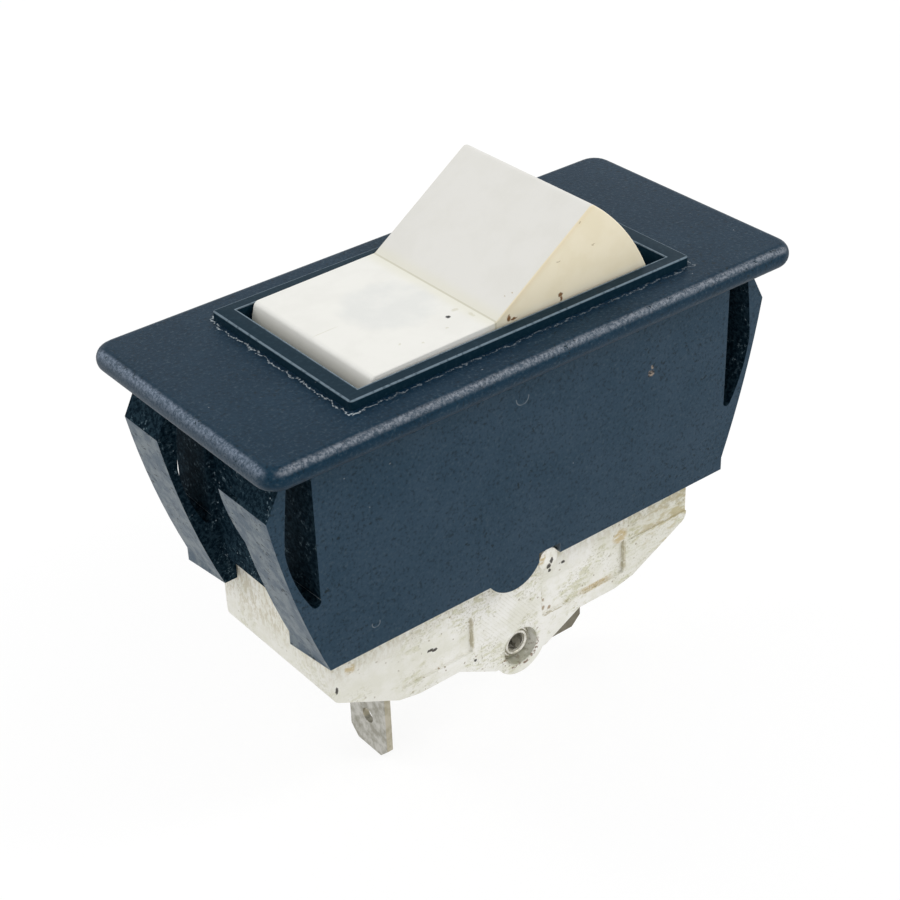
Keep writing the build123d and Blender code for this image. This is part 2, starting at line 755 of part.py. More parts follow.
def make_fixed_contact():
    top = -leg_depth + fixed_contact_height
    button = rod_along_z(contact_x + contact_swing_offset, contact_y, fixed_contact_radius, -leg_depth, top)
    return chamfer(button.edges().group_by(Axis.Z)[-1], fixed_contact_chamfer)


# ----------------------------------------------------------------- contact arm
def make_contact_arm():
    """Stamped arm curled round its pin, with the hole for the contact rivet."""
    bottom = arm_top - arm_thickness
    arm = block(arm_end_x, arm_pivot_x, arm_front, arm_back, bottom, arm_top)
    arm = fillet(arm.edges().filter_by(Axis.Z).group_by(Axis.X)[0], arm_corner_radius)
    arm += rod_along_y(arm_pivot_x, -arm_pivot_depth, arm_hub_radius, arm_front, arm_back)
    return arm - rod_along_y(arm_pivot_x, -arm_pivot_depth, arm_pin_radius + pin_clearance,
                             arm_front - 1, arm_back + 1)


def make_moving_contact():
    """Silver button with a domed face under the arm."""
    seat = arm_top - arm_thickness
    button = rod_along_z(contact_x, contact_y, moving_contact_radius, seat - moving_contact_height, seat)
    return chamfer(button.edges().group_by(Axis.Z)[0], *moving_contact_chamfer)


def make_arm_pin():
    return rod_along_y(arm_pivot_x, -arm_pivot_depth, arm_pin_radius,
                       -cavity_half - pin_seat, cavity_half + pin_seat)


# -------------------------------------------------------------------- push rod
def make_push_rod():
    """Guided stem; its front lane is the cam that the trip lever follows."""
    left = rod_x - rod_width / 2
    right = rod_x + rod_width / 2
    foot_z = arm_top + touch_gap
    cam_low = -neck_low_depth - cam_rise - cam_foot
    front = outline((left, rod_top), (right, rod_top), (right, cam_low),
                    (cam_x, cam_low), (cam_x, -neck_low_depth - cam_rise),
                    (neck_x, -neck_low_depth), (neck_x, -neck_top_depth), (left, -neck_top_depth))
    rod = prism(front, rod_front, arm_front)
    taper_z = foot_z + rod_foot_radius + rod_foot_taper
    back = outline((left, rod_top), (right, rod_top), (right, taper_z),
                   (rod_x + rod_foot_radius, foot_z + rod_foot_radius),
                   (rod_x - rod_foot_radius, foot_z + rod_foot_radius), (left, taper_z))
    rod += prism(back, arm_front, rod_back)
    return rod + rod_along_y(rod_x, foot_z + rod_foot_radius, rod_foot_radius, arm_front, rod_back)


# ----------------------------------------------------------------- trip lever
def make_trip_lever():
    """Bell crank: beak that follows the cam, foot above the bimetal."""
    x, z = trip_pivot_x, -trip_pivot_depth
    half = lever_width / 2
    beak_z = -lever_nose_depth
    upright = outline((x - half, z), (x + half, z), (stem_x + half, beak_z + lever_nose_radius),
                      (stem_x - half, beak_z + lever_nose_radius))
    beak = outline((stem_x, beak_z + lever_nose_radius), (lever_nose_x, beak_z + lever_nose_radius),
                   (lever_nose_x, beak_z - lever_nose_radius), (stem_x, beak_z - lever_beak_root))
    foot = outline((x - half, z), (x + half, z), (x + half, -lever_foot_depth + lever_foot_root),
                   (lever_foot_x, -lever_foot_depth + lever_foot_tip), (lever_foot_x, -lever_foot_depth),
                   (x - half, -lever_foot_depth))
    lever = prism(upright, lever_front, lever_back)
    lever += prism(beak, lever_front, lever_back)
    lever += prism(foot, lever_front, lever_back)
    lever += rod_along_y(lever_nose_x, beak_z, lever_nose_radius, lever_front, lever_back)
    lever += rod_along_y(x, z, lever_hub_radius, lever_front, lever_back)
    return lever - rod_along_y(x, z, trip_pin_radius + pin_clearance, lever_front - 1, lever_back + 1)


def make_trip_pin():
    """Headed pin pressed into the front shell."""
    pin = rod_along_y(trip_pivot_x, -trip_pivot_depth, trip_pin_radius,
                      -body_half + shell_skin, lever_back + touch_gap)
    return pin + rod_along_y(trip_pivot_x, -trip_pivot_depth, trip_pin_radius + trip_pin_flange,
                             lever_back + touch_gap, lever_back + touch_gap + trip_pin_head)


def make_trip_spring():
    """Leaf spring: straight root under the deck, bowed end against the lever."""
    top = -deck_depth - deck_wall
    root = top - leaf_root
    half = leaf_thickness / 2
    tip = (stem_x - lever_width / 2 - touch_gap - half, top - leaf_drop)
    left_tip = (tip[0] - half, tip[1])
    right_tip = (tip[0] + half, tip[1])
    left_root = (leaf_x - half, root)
    right_root = (leaf_x + half, root)
    face = make_face(
        Polyline(right_root, (leaf_x + half, top), (leaf_x - half, top), left_root)
        + ThreePointArc(left_root, bowed(left_root, left_tip, -leaf_bow), left_tip)
        + Line(left_tip, right_tip)
        + ThreePointArc(right_tip, bowed(right_tip, right_root, leaf_bow), right_root))
    return prism(face, lever_front + touch_gap, lever_back - touch_gap)


# -------------------------------------------------------------------- bimetal
def make_bimetal_strip():
    top = -foot_depth + bimetal_thickness
    foot_end = load_x + tab_width / 2 + shoulder
    strip = block(bimetal_free_x, foot_end, bimetal_front, bimetal_back, -foot_depth, top)
    strip = chamfer(strip.edges().filter_by(Axis.Z), bimetal_corner)
    return strip - rod_along_z(rivet_x, fixing_y, bimetal_rivet_radius, -foot_depth - 1, top + 1)


def make_bimetal_rivet():
    low = -foot_depth - tab_thickness
    high = -foot_depth + bimetal_thickness
    rivet = rod_along_z(rivet_x, fixing_y, bimetal_rivet_radius, low, high)
    for head_low in (low - bimetal_rivet_head, high):
        rivet += rod_along_z(rivet_x, fixing_y, bimetal_rivet_head_radius,
                             head_low, head_low + bimetal_rivet_head)
    return rivet


def make_calibration_screw():
    """Slotted screw in the foot of the load terminal, its end against the bimetal."""
    neck = -foot_depth - tab_thickness - screw_neck
    low = neck - screw_head
    screw = rod_along_z(screw_x, fixing_y, screw_radius, neck, -foot_depth)
    screw += rod_along_z(screw_x, fixing_y, screw_head_radius, low, neck)
    return screw - block(screw_x - 2 * screw_head_radius, screw_x + 2 * screw_head_radius,
                         fixing_y - screw_slot / 2, fixing_y + screw_slot / 2,
                         low - 1, low + screw_slot_depth)


# ------------------------------------------------------ spring, braid, barrier
def make_kick_spring():
    """Compression spring of square wire between its seat and the arm."""
    low = -seat_depth + kick_spring_wire
    high = arm_top - arm_thickness - touch_gap - kick_spring_wire
    pitch = (high - low) / kick_spring_turns
    path = Pos(kick_spring_x, kick_spring_y, low) * Helix(pitch, high - low, kick_spring_radius)
    start = path @ 0
    section = Plane(origin=start, z_dir=path % 0) * Rectangle(2 * kick_spring_wire, 2 * kick_spring_wire)
    return sweep(section, path=path, is_frenet=True)


def make_braid():
    """Flexible lead from the bimetal up to the arm."""
    z_low = -foot_depth + bimetal_thickness
    z_high = arm_top - arm_thickness - pin_clearance
    points = [(*braid_low_end, z_low), (*braid_low_end, z_low + braid_low_rise),
              (*braid_high_end, z_low + braid_high_rise), (*braid_high_end, z_high)]
    path = FilletPolyline(*points, radius=braid_bend_radius)
    run = Vector(*points[3]) - Vector(*points[0])
    section = Plane(origin=points[0], x_dir=(run.X, run.Y, 0), z_dir=(0, 0, 1))
    return sweep(section * Rectangle(braid_thickness, braid_width), path=path)


def make_arc_barrier():
    half = barrier_thickness / 2
    return block(barrier_x - half, barrier_x + half, -cavity_half, cavity_half,
                 -cavity_floor_depth, -barrier_top_depth)


nodes = {
    "bezel_frame": make_bezel_frame(),
    "rocker_surround": make_rocker_surround(),
    "rocker": make_rocker(),
    "rocker_pin": make_rocker_pin(),
    "housing_front": make_housing_front(),
    "housing_rear": make_housing_rear(),
    "centre_rivet": make_centre_rivet(),
    "upper_rivet_left": make_upper_rivet(-upper_rivet_x),
    "upper_rivet_right": make_upper_rivet(upper_rivet_x),
    "line_terminal": make_line_terminal(),
    "load_terminal": make_load_terminal(),
    "fixed_contact": make_fixed_contact(),
    "contact_arm": make_contact_arm(),
    "moving_contact": make_moving_contact(),
    "arm_pin": make_arm_pin(),
    "push_rod": make_push_rod(),
    "trip_lever": make_trip_lever(),
    "trip_pin": make_trip_pin(),
    "trip_spring": make_trip_spring(),
    "bimetal_strip": make_bimetal_strip(),
    "bimetal_rivet": make_bimetal_rivet(),
    "calibration_screw": make_calibration_screw(),
    "kick_spring": make_kick_spring(),
    "braid": make_braid(),
    "arc_barrier": make_arc_barrier(),
}

os.makedirs("parts", exist_ok=True)
for name, solid in nodes.items():
    export_step(solid, f"parts/{name}.step")
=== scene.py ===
import bpy
import bmesh
import math
from mathutils import Matrix, Vector


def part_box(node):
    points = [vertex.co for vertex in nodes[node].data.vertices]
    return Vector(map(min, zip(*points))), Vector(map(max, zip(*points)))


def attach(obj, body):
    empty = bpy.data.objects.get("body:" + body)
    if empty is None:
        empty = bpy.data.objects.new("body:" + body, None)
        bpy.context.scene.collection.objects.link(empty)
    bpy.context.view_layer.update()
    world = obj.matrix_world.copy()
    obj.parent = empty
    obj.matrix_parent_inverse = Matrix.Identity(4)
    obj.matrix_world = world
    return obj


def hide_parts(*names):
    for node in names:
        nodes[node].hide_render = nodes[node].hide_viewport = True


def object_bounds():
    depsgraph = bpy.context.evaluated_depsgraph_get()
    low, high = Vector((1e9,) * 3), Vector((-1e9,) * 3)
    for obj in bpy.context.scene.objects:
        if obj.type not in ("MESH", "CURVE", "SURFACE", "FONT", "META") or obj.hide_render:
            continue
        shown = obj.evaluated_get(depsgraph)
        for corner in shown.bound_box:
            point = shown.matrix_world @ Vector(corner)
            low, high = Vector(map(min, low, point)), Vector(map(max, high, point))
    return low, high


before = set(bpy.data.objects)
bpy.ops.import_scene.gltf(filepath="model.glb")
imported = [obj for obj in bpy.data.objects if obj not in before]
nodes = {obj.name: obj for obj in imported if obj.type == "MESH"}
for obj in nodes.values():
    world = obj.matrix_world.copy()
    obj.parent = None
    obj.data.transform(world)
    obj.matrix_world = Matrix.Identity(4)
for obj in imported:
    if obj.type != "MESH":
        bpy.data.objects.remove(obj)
cad_box = [list(corner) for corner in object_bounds()]
mm = 0.001
scene = bpy.context.scene
scene.view_settings.view_transform = "Standard"

# ------------------------------------------------------------- camera and light
# The breaker stands on its blades on a pale table under soft studio lamps. The
# camera looks down on the pressed end of the rocker and the front of the frame.
camera_data = bpy.data.cameras.new("camera")
camera_data.sensor_width = 36
camera_data.lens = 77.16
camera_data.clip_start = 0.01
camera = bpy.data.objects.new("camera", camera_data)
scene.collection.objects.link(camera)
turn, lift, roll = math.radians(-37.687), math.radians(32.951), math.radians(-2.025)
back = Vector((math.sin(turn) * math.cos(lift), -math.cos(turn) * math.cos(lift), math.sin(lift)))
level = Vector((math.cos(turn), math.sin(turn), 0))
upward = back.cross(level)
right = math.cos(roll) * level + math.sin(roll) * upward
upward = back.cross(right)
stand = Vector((-99.38, -127.03, 89.11)) * mm
camera.matrix_world = Matrix.Translation(stand) @ Matrix((right, upward, back)).transposed().to_4x4()
scene.camera = camera

world = bpy.data.worlds.new("studio")
scene.world = world
world.use_nodes = True
tree = world.node_tree
sky = tree.nodes["Background"]
sky.inputs["Color"].default_value = (1, 1, 1, 1)


def seen_directly(tree):
    """1 for what the camera, a reflection or a clear piece sees, 0 for plain light."""
    path = tree.nodes.new("ShaderNodeLightPath")
    seen = path.outputs["Is Camera Ray"]
    for ray in ("Is Glossy Ray", "Is Transmission Ray"):
        larger = tree.nodes.new("ShaderNodeMath")
        larger.operation = "MAXIMUM"
        tree.links.new(seen, larger.inputs[0])
        tree.links.new(path.outputs[ray], larger.inputs[1])
        seen = larger.outputs[0]
    return seen


level_of_light = tree.nodes.new("ShaderNodeMapRange")
level_of_light.inputs["To Min"].default_value = 0.85
level_of_light.inputs["To Max"].default_value = 1.0
tree.links.new(seen_directly(tree), level_of_light.inputs["Value"])
tree.links.new(level_of_light.outputs[0], sky.inputs["Strength"])


def lamp(name, place, size, power):
    """Soft square lamp aimed at the middle of the breaker."""
    middle = Vector((0, 0, -0.015))
    data = bpy.data.lights.new(name, "AREA")
    data.shape = "SQUARE"
    data.size = size
    data.energy = power
    piece = bpy.data.objects.new(name, data)
    scene.collection.objects.link(piece)
    piece.location = Vector(place)
    piece.rotation_euler = (middle - piece.location).to_track_quat("-Z", "Y").to_euler()


lamp("front_lamp", (0.28, -0.30, 0.36), 0.14, 0.55)
lamp("end_lamp", (-0.32, 0.40, 0.31), 0.14, 0.4)

floor_mesh = bpy.data.meshes.new("table")
bm = bmesh.new()
table_half, blade_tips = 1.5, cad_box[0][2]
bmesh.ops.create_grid(bm, x_segments=1, y_segments=1, size=table_half)
bmesh.ops.translate(bm, verts=bm.verts, vec=(0, 0, blade_tips))
bm.to_mesh(floor_mesh)
bm.free()
table = bpy.data.objects.new("table", floor_mesh)
scene.collection.objects.link(table)
paper = bpy.data.materials.new("pale_table")
paper.use_nodes = True
tree = paper.node_tree
shader = tree.nodes["Principled BSDF"]
shader.inputs["Base Color"].default_value = (0.85, 0.85, 0.85, 1)
shader.inputs["Roughness"].default_value = 0.9
shader.inputs["Specular IOR Level"].default_value = 0.1
glow = tree.nodes.new("ShaderNodeEmission")
glow.inputs["Strength"].default_value = 1.06
share = tree.nodes.new("ShaderNodeMath")
share.operation = "MULTIPLY"
share.inputs[1].default_value = 0.8
tree.links.new(seen_directly(tree), share.inputs[0])
mixed = tree.nodes.new("ShaderNodeMixShader")
tree.links.new(share.outputs[0], mixed.inputs[0])
tree.links.new(shader.outputs[0], mixed.inputs[1])
tree.links.new(glow.outputs[0], mixed.inputs[2])
tree.links.new(mixed.outputs[0], tree.nodes["Material Output"].inputs["Surface"])
table.data.materials.append(paper)


# ------------------------------------------------------------------ panel frame
# One black moulding: flange with a full round edge, collar round the breaker and
# four snap wings. Glass-filled nylon with a spark-eroded grain, scuffed and dusty.
def start_finish(name, colour, roughness, metal=0.0, gloss=0.5, shine=(1, 1, 1)):
    """A material with its constants on the shader, and the place on the piece."""
    material = bpy.data.materials.new(name)
    material.use_nodes = True
    tree = material.node_tree
    shader = tree.nodes["Principled BSDF"]
    shader.inputs["Base Color"].default_value = (*colour, 1)
    shader.inputs["Roughness"].default_value = roughness
    shader.inputs["Metallic"].default_value = metal
    shader.inputs["Specular IOR Level"].default_value = gloss
    shader.inputs["Specular Tint"].default_value = (*shine, 1)
    place = tree.nodes.new("ShaderNodeTexCoord").outputs["Object"]
    return material, tree, shader, place


def put(tree, kind, sockets, out=0, **settings):
    """Adds a node, with each socket given a number, a colour or a link."""
    made = tree.nodes.new("ShaderNode" + kind)
    for key, value in settings.items():
        setattr(made, key, value)
    for key, value in sockets.items():
        if isinstance(value, bpy.types.NodeSocket):
            tree.links.new(value, made.inputs[key])
        else:
            made.inputs[key].default_value = value
    return made.outputs[out]


def grain(tree, place, size, detail=2.0, rough=0.5):
    """Noise whose patches are about size metres across."""
    return put(tree, "TexNoise", {"Vector": place, "Scale": 1 / size, "Detail": detail, "Roughness": rough})


def step(tree, value, low, high, to_low=0.0, to_high=1.0):
    """0 below low, 1 above high, smooth between."""
    return put(tree, "MapRange", {"Value": value, "From Min": low, "From Max": high,
                                  "To Min": to_low, "To Max": to_high}, interpolation_type="SMOOTHSTEP")


def maths(tree, operation, a, b=0.0):
    """One sum on two values."""
    return put(tree, "Math", {0: a, 1: b}, operation=operation)


def partly(tree, mask, share):
    """A mask that reaches no more than share."""
    return maths(tree, "MULTIPLY", mask, share)


def near(tree, value, at, width, core):
    """1 where the value is within core of at, 0 beyond width of it."""
    off = maths(tree, "ABSOLUTE", maths(tree, "SUBTRACT", value, at))
    return step(tree, off, width, core)


def both(tree, first, *others):
    """Where every mask is."""
    for other in others:
        first = maths(tree, "MULTIPLY", first, other)
    return first


def either(tree, first, *others):
    """Where any mask is."""
    for other in others:
        first = maths(tree, "MAXIMUM", first, other)
    return first


def tint(tree, share, under, over):
    """Colour under with colour over laid on it by share."""
    colours = {0: share}
    for key, value in ((6, under), (7, over)):
        colours[key] = value if isinstance(value, bpy.types.NodeSocket) else (*value, 1)
    return put(tree, "Mix", colours, out=2, data_type="RGBA")


def along(tree, place):
    """The place as millimetres along X, Y and Z."""
    node = put(tree, "SeparateXYZ", {0: place}).node
    return [maths(tree, "MULTIPLY", out, 1 / mm) for out in node.outputs]


def from_axis(tree, x, z, centre):
    """Distance from an axis along Y through centre, all in millimetres."""
    away = {0: maths(tree, "SUBTRACT", x, centre[0]), 2: maths(tree, "SUBTRACT", z, centre[1])}
    return put(tree, "VectorMath", {0: put(tree, "CombineXYZ", away)}, out=1, operation="LENGTH")


def stretched(tree, place, scale, turn=(0, 0, 0)):
    """The place turned and scaled, so that a grain on it is drawn out."""
    return put(tree, "Mapping", {0: place, 2: turn, 3: scale})


def facing(tree):
    """The three parts of the way that the surface faces."""
    return put(tree, "SeparateXYZ", {0: put(tree, "NewGeometry", {}, out=1)}).node.outputs


def ragged(tree, place, size, reach):
    """The place pushed about by reach metres, so that marks get uneven edges."""
    push = put(tree, "TexNoise", {"Vector": place, "Scale": 1 / size, "Detail": 2.0}, out=1)
    push = put(tree, "VectorMath", {0: push, 1: (0.5, 0.5, 0.5)}, operation="SUBTRACT")
    push = put(tree, "VectorMath", {0: push, "Scale": reach}, operation="SCALE")
    return put(tree, "VectorMath", {0: place, 1: push}, operation="ADD")


def spot(tree, place, centre, radii, blur=0.5):
    """1 in a patch about centre, in millimetres, fading over blur of its radii."""
    away = put(tree, "VectorMath", {0: place, 1: [v * mm for v in centre]}, operation="SUBTRACT")
    away = put(tree, "VectorMath", {0: away, 1: [1 / (r * mm) for r in radii]}, operation="MULTIPLY")
    away = put(tree, "VectorMath", {0: away}, out=1, operation="LENGTH")
    return step(tree, away, 1, 1 - blur)


def spots(tree, place, *marks, blur=0.5):
    """Several patches, each its centre and one radius or three, in millimetres."""
    found = None
    for centre, radii in marks:
        radii = radii if isinstance(radii, tuple) else (radii,) * 3
        one = spot(tree, place, centre, radii, blur)
        found = either(tree, found, one) if found else one
    return found


def specks(tree, place, size, share, dot):
    """Dots of radius dot metres, in a share of the cells of a size."""
    cell = put(tree, "TexVoronoi", {"Vector": place, "Scale": 1 / size}).node
    chance = put(tree, "SeparateXYZ", {0: cell.outputs["Color"]})
    return both(tree, step(tree, cell.outputs["Distance"], dot / size, 0.5 * dot / size),
                step(tree, chance, 1 - share, 1.001 - share))


def relief(tree, shader, *layers):
    """Bumps on the shader, each a height, a depth in metres and a strength."""
    normal = None
    for height, depth, strength in layers:
        sockets = {"Height": height, "Distance": depth, "Strength": strength}
        if normal:
            sockets["Normal"] = normal
        normal = put(tree, "Bump", sockets)
    tree.links.new(normal, shader.inputs["Normal"])


def dressed(node, body, material, soften, sides=2):
    """Copy of a CAD node, merged, with its edges softened, riding in its place."""
    corner_angle = math.radians(28)
    bm = bmesh.new()
    bm.from_mesh(nodes[node].data)
    bmesh.ops.remove_doubles(bm, verts=bm.verts, dist=0.002 * mm)
    bmesh.ops.dissolve_limit(bm, angle_limit=math.radians(0.4), verts=bm.verts, edges=bm.edges)
    mesh = bpy.data.meshes.new(node + "_look")
    bm.to_mesh(mesh)
    bm.free()
    for face in mesh.polygons:
        face.use_smooth = True
    mesh.set_sharp_from_angle(angle=corner_angle)
    mesh.materials.append(material)
    piece = bpy.data.objects.new(node + "_look", mesh)
    scene.collection.objects.link(piece)
    bevel = piece.modifiers.new("soft_edges", "BEVEL")
    bevel.width = soften
    bevel.segments = sides
    bevel.limit_method = "ANGLE"
    bevel.angle_limit = corner_angle
    bevel.harden_normals = True
    bevel.use_clamp_overlap = True
    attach(piece, body)
    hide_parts(node)
    return piece


frame_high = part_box("bezel_frame")[1]
rim_points = [point.co for point in nodes["rocker_surround"].data.vertices if point.co.z > frame_high[2]]
rim_x, rim_y, rim_top = (max(point[i] for point in rim_points) / mm for i in range(3))
frame_x, frame_y, frame_top = (value / mm for value in frame_high)
collar_face, edge_radius = 11.5, 1.15
dusty_tone, blue_shine = (0.42, 0.45, 0.47), (0.4, 0.8, 1)
frame_black, tree, shader, place = start_finish("frame_black", (0.003, 0.015, 0.030), 0.52, gloss=0.3,
                                                shine=blue_shine)
x, y, z = along(tree, place)
far_x, far_y = maths(tree, "ABSOLUTE", x), maths(tree, "ABSOLUTE", y)
speckle = grain(tree, place, 0.35 * mm, 4, 0.7)
cloud = grain(tree, place, 5 * mm, 3, 0.6)
tone = tint(tree, step(tree, cloud, 0.35, 0.7), (0.0, 0.012, 0.031), (0.003, 0.018, 0.040))
# Painted light: the outer side walls of the collar take a lighter copy of the black than the top.
lit_side_tone = tint(tree, step(tree, cloud, 0.35, 0.7), (0.014, 0.033, 0.058), (0.020, 0.040, 0.067))
on_side = both(tree, step(tree, far_y, collar_face - 0.05, collar_face + 0.05),
               step(tree, z, -0.1, -0.4))
tone = tint(tree, on_side, tone, lit_side_tone)
tone = tint(tree, step(tree, speckle, 0.52, 0.70, 0, 0.7), tone, (0.040, 0.060, 0.080))
tone = tint(tree, step(tree, speckle, 0.47, 0.34, 0, 0.75), tone, (0.0, 0.001, 0.005))

# Painted highlight: a pale sparkling line along the round edge of the flange, most at the ends, and a
# fainter one lower down at the ends.
beyond_x = maths(tree, "SUBTRACT", far_x, frame_x - edge_radius)
beyond_y = maths(tree, "SUBTRACT", far_y, frame_y - edge_radius)
beyond = maths(tree, "MAXIMUM", beyond_x, beyond_y)
around = maths(tree, "ARCTAN2", maths(tree, "SUBTRACT", z, frame_top - edge_radius), beyond)
at_ends = step(tree, maths(tree, "SUBTRACT", beyond_x, beyond_y), -0.4, 0.4)
off_corner = step(tree, maths(tree, "MINIMUM", beyond_x, beyond_y), 0.3, -0.9)
highlight_sparkle = step(tree, grain(tree, place, 0.30 * mm, 4, 0.8), 0.38, 0.64, 0.2, 1)
end_highlight = both(tree, step(tree, around, 0.1, 0.85), step(tree, around, 1.35, 0.95), at_ends)
side_highlight = both(tree, step(tree, around, 0.35, 0.85), step(tree, around, 1.35, 0.95),
                 step(tree, at_ends, 1, 0))
lower = both(tree, step(tree, around, -1.2, -0.7), step(tree, around, 1.2, 0.6), at_ends)
tone = tint(tree, both(tree, lower, highlight_sparkle, off_corner), tone, (0.050, 0.064, 0.085))
tone = tint(tree, both(tree, end_highlight, highlight_sparkle, off_corner), tone, (0.19, 0.225, 0.29))
tone = tint(tree, both(tree, side_highlight, highlight_sparkle, off_corner), tone, (0.25, 0.265, 0.30))

# The ramps of the wings are painted pale, a painted reflection of the bright floor on faces scuffed by the
# panel, with short dark scores.
faces = facing(tree)
down_or_foot = either(tree, step(tree, faces[2], -0.10, -0.16), step(tree, z, -17, -17.4))
on_ramp = both(tree, step(tree, maths(tree, "ABSOLUTE", faces[0]), 0.25, 0.35), down_or_foot,
               step(tree, z, -4, -4.6))
scores = grain(tree, stretched(tree, place, (1, 0.35, 1)), 0.5 * mm, 3, 0.7)
ramp_reflection_and_scuffs = tint(tree, step(tree, grain(tree, place, 1.6 * mm, 4, 0.65), 0.38, 0.62),
               (0.075, 0.100, 0.130), (0.165, 0.190, 0.205))
ramp_reflection_and_scuffs = tint(tree, step(tree, scores, 0.40, 0.33), ramp_reflection_and_scuffs, (0.010, 0.014, 0.018))
tone = tint(tree, on_ramp, tone, ramp_reflection_and_scuffs)

# Pits and pale dust on the collar, two curled hairs, and a brown crumb on its front.
uneven = ragged(tree, place, 0.5 * mm, 0.5 * mm)
wear_and_edge_highlight = step(tree, grain(tree, place, 9 * mm, 2), 0.45, 0.6)
pits = both(tree, wear_and_edge_highlight, step(tree, grain(tree, place, 0.5 * mm, 2, 0.7), 0.62, 0.68))
tone = tint(tree, pits, tone, (0.001, 0.003, 0.006))
dust = specks(tree, uneven, 2.4 * mm, 0.3, 0.09 * mm)


def hair(centre, radius, start, end):
    """A thin curl on the front of the collar, from one height to another."""
    return both(tree, near(tree, from_axis(tree, x, z, centre), radius, 0.07, 0.03),
                step(tree, z, start, start + 0.1), step(tree, z, end, end - 0.1), step(tree, y, -11, -11.4))


hairs = either(tree, hair((-19.5, -20.4), 0.45, -20.9, -20.2), hair((-1.6, -3.4), 0.75, -4.2, -3.3))
tone = tint(tree, partly(tree, either(tree, dust, partly(tree, hairs, 0.5)), 0.55), tone, dusty_tone)
crumb = spots(tree, uneven, ((14.8, -11.6, -7.3), (0.55, 0.5, 0.5)), ((14.95, -11.6, -6.6), 0.28))
crumb_tone = tint(tree, step(tree, speckle, 0.45, 0.55), (0.02, 0.013, 0.010), (0.30, 0.24, 0.19))
tone = tint(tree, crumb, tone, crumb_tone)

# A thin broken line of pale dust wanders along the foot of the window rim.
past_x = maths(tree, "SUBTRACT", far_x, rim_x)
past_y = maths(tree, "SUBTRACT", far_y, rim_y)
past = maths(tree, "MAXIMUM", past_x, past_y)
top_face = step(tree, z, frame_top - 0.2, frame_top - 0.05)
wander = step(tree, grain(tree, place, 1.1 * mm, 3, 0.7), 0.3, 0.7, 0.10, 0.62)
broken = step(tree, grain(tree, place, 0.3 * mm, 3, 0.7), 0.44, 0.54)
settled = both(tree, near(tree, past, wander, 0.12, 0.06), top_face, broken)
more_left = step(tree, x, -17, -20, 0.35, 1)
tone = tint(tree, both(tree, settled, more_left), tone, (0.46, 0.51, 0.54))
tree.links.new(tone, shader.inputs["Base Color"])
relief(tree, shader, (speckle, 0.05 * mm, 0.7), (pits, 0.06 * mm, -0.5))

# The slots, the catches and the recess between the wings keep a coarse spark-eroded skin,
# painted near black as painted shade and flecked with painted glinting highlights.
frame_coarse_shaded, tree, shader, place = start_finish("frame_coarse_shaded", (0.002, 0.014, 0.024), 0.8, gloss=0.04,
                                                 shine=blue_shine)
crust = grain(tree, place, 0.4 * mm, 4, 0.75)
tone = tint(tree, step(tree, crust, 0.40, 0.62), (0.001, 0.007, 0.014), (0.018, 0.038, 0.054))
patchy = step(tree, grain(tree, place, 1.8 * mm, 3, 0.6), 0.50, 0.60)
# Painted highlights: pale patches of the grain and bright dots stand in for glinting points on it.
tone = tint(tree, both(tree, step(tree, crust, 0.56, 0.64), patchy), tone, (0.12, 0.17, 0.20))
painted_glints = specks(tree, place, 0.5 * mm, 0.3, 0.10 * mm)
tone = tint(tree, both(tree, painted_glints, patchy), tone, (0.26, 0.32, 0.36))
tree.links.new(tone, shader.inputs["Base Color"])
relief(tree, shader, (crust, 0.12 * mm, 0.8))

bezel = dressed("bezel_frame", "breaker", frame_black, 0.15 * mm)
bezel.data.materials.append(frame_coarse_shaded)

# The corners of the flange are rounded further in plan, each point pushed inwards
# along the radius that it lies on.
plan_radius, worn_radius, hair_breadth = 1.4 * mm, 2.3 * mm, 0.01 * mm
outer = Vector(frame_high[:2])
for point in bezel.data.vertices:
    side = Vector((math.copysign(1, point.co.x), math.copysign(1, point.co.y)))
    off = point.co.xy * side - (outer - Vector((plan_radius, plan_radius)))
    if point.co.z > -hair_breadth and min(off) > -hair_breadth and off.length > 0:
        inner = outer - Vector((worn_radius, worn_radius))
        point.co.xy = (inner + off.normalized() * (off.length + worn_radius - plan_radius)) * side

# Everything at the ends below the flange takes the coarse finish and its painted shade, but for ramps and
# outer sides.
end_starts, foot_starts = 24 * mm, -17 * mm
for face in bezel.data.polygons:
    outward = math.copysign(1, face.center.x) * face.normal.x
    in_end = abs(face.center.x) > end_starts and face.center.z < -0.2 * mm
    ramp = outward > 0.2 and (face.normal.z < -0.1 or face.center.z < foot_starts)
    outer_side = abs(face.normal.y) > 0.9 and abs(face.center.y) > collar_face * mm
    if in_end and not ramp and not outer_side:
        face.material_index = 1

# --------------------------------------------------------------------- surround
# Window frame of the rocker, a separate black moulding dropped in from above. Its
# low rim lies on the flange and is smoother than the frame, with pale painted highlights on its edges.
surround_black, tree, shader, place = start_finish("surround_black", (0.003, 0.014, 0.028), 0.38,
                                                   gloss=0.08, shine=blue_shine)
x, y, z = along(tree, place)
far_x, far_y = maths(tree, "ABSOLUTE", x), maths(tree, "ABSOLUTE", y)
rim_end_width, rim_side_width = 1.8, 1.35
window_x, window_y = rim_x - rim_end_width, rim_y - rim_side_width
speckle = grain(tree, place, 0.4 * mm, 3, 0.6)
tone = tint(tree, step(tree, speckle, 0.45, 0.75), (0.004, 0.019, 0.033), (0.010, 0.029, 0.046))
past = maths(tree, "MAXIMUM", maths(tree, "SUBTRACT", far_x, rim_x), maths(tree, "SUBTRACT", far_y, rim_y))
top = step(tree, z, rim_top - 0.16, rim_top - 0.06)
